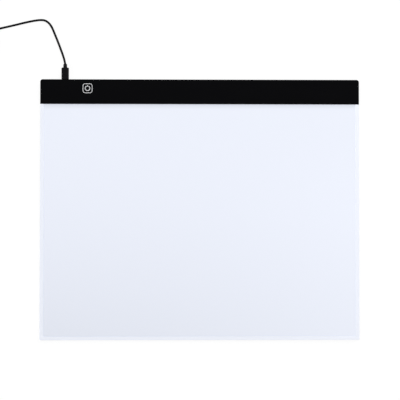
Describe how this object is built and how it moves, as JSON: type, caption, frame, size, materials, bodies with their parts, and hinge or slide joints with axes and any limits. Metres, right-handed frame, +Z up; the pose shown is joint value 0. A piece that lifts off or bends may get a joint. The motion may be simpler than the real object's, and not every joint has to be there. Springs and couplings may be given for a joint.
{
  "type": "led tracing pad",
  "caption": "Thin edge-lit A3 tracing panel with a white rim, a glossy black control bar with a touch key, rubber feet and a detachable USB cable that is partly coiled.",
  "frame": {"origin": "centre of the pad in plan, at the height of the table that its rubber feet stand on", "axes": "+X to the right along the pad's long side, +Y towards the control bar and the cable, +Z up out of the lit panel"},
  "size_m": [0.5697, 0.4531, 0.0155],
  "materials": {
    "white_plastic": "satin",
    "lit_panel": "frosted",
    "clear_acrylic": "clear",
    "white_film": "matt",
    "grey_tape": "matt",
    "black_gloss": "gloss",
    "black_tape": "matt",
    "circuit_board": "satin",
    "led_board": "satin",
    "chip_black": "matt",
    "capacitor_ochre": "satin",
    "copper_foam": "woven",
    "plated_steel": "plated",
    "screw_steel": "blackened",
    "socket_black": "matt",
    "plug_white": "satin",
    "cord_black": "satin",
    "foot_rubber": "matt",
    "wire_red": "satin",
    "wire_black": "satin"
  },
  "bodies": {
    "pad": {"rear_cover": "white_plastic", "reflector_sheet": "white_film", "light_guide_plate": "clear_acrylic", "diffuser_sheet": "white_film", "edge_tape_left": "white_film", "edge_tape_right": "white_film", "edge_tape_bottom": "white_film", "panel_tape": "white_film", "front_panel": "lit_panel", "led_strip": "led_board", "strip_tape": "grey_tape", "light_shield_tape": "black_tape", "bar_cover": "black_gloss", "control_board": "circuit_board", "touch_electrode": "copper_foam", "touch_chip": "chip_black", "dimmer_transistor": "chip_black", "input_capacitor": "capacitor_ochre", "micro_usb_socket": "plated_steel", "micro_usb_socket_tongue": "socket_black", "wire_positive": "wire_red", "wire_negative": "wire_black", "bar_screw_1": "screw_steel", "bar_screw_2": "screw_steel", "bar_screw_3": "screw_steel", "bar_screw_4": "screw_steel", "bar_screw_5": "screw_steel", "bar_screw_6": "screw_steel", "foot_1": "foot_rubber", "foot_2": "foot_rubber", "foot_3": "foot_rubber", "foot_4": "foot_rubber"},
    "usb_cable": {"micro_usb_overmould": "cord_black", "micro_usb_shell": "plated_steel", "micro_usb_contact_block": "socket_black", "cord_run": "cord_black", "cord_coil": "cord_black", "coil_tie": "plug_white", "cord_tail": "cord_black", "usb_a_overmould": "cord_black", "usb_a_shell": "plated_steel", "usb_a_contact_block": "plug_white"}
  },
  "joints": [
    {"name": "plug_pull", "type": "slide", "parent": "pad", "child": "usb_cable", "axis": [0, 1, 0], "range_m": [0, 0.012]}
  ]
}
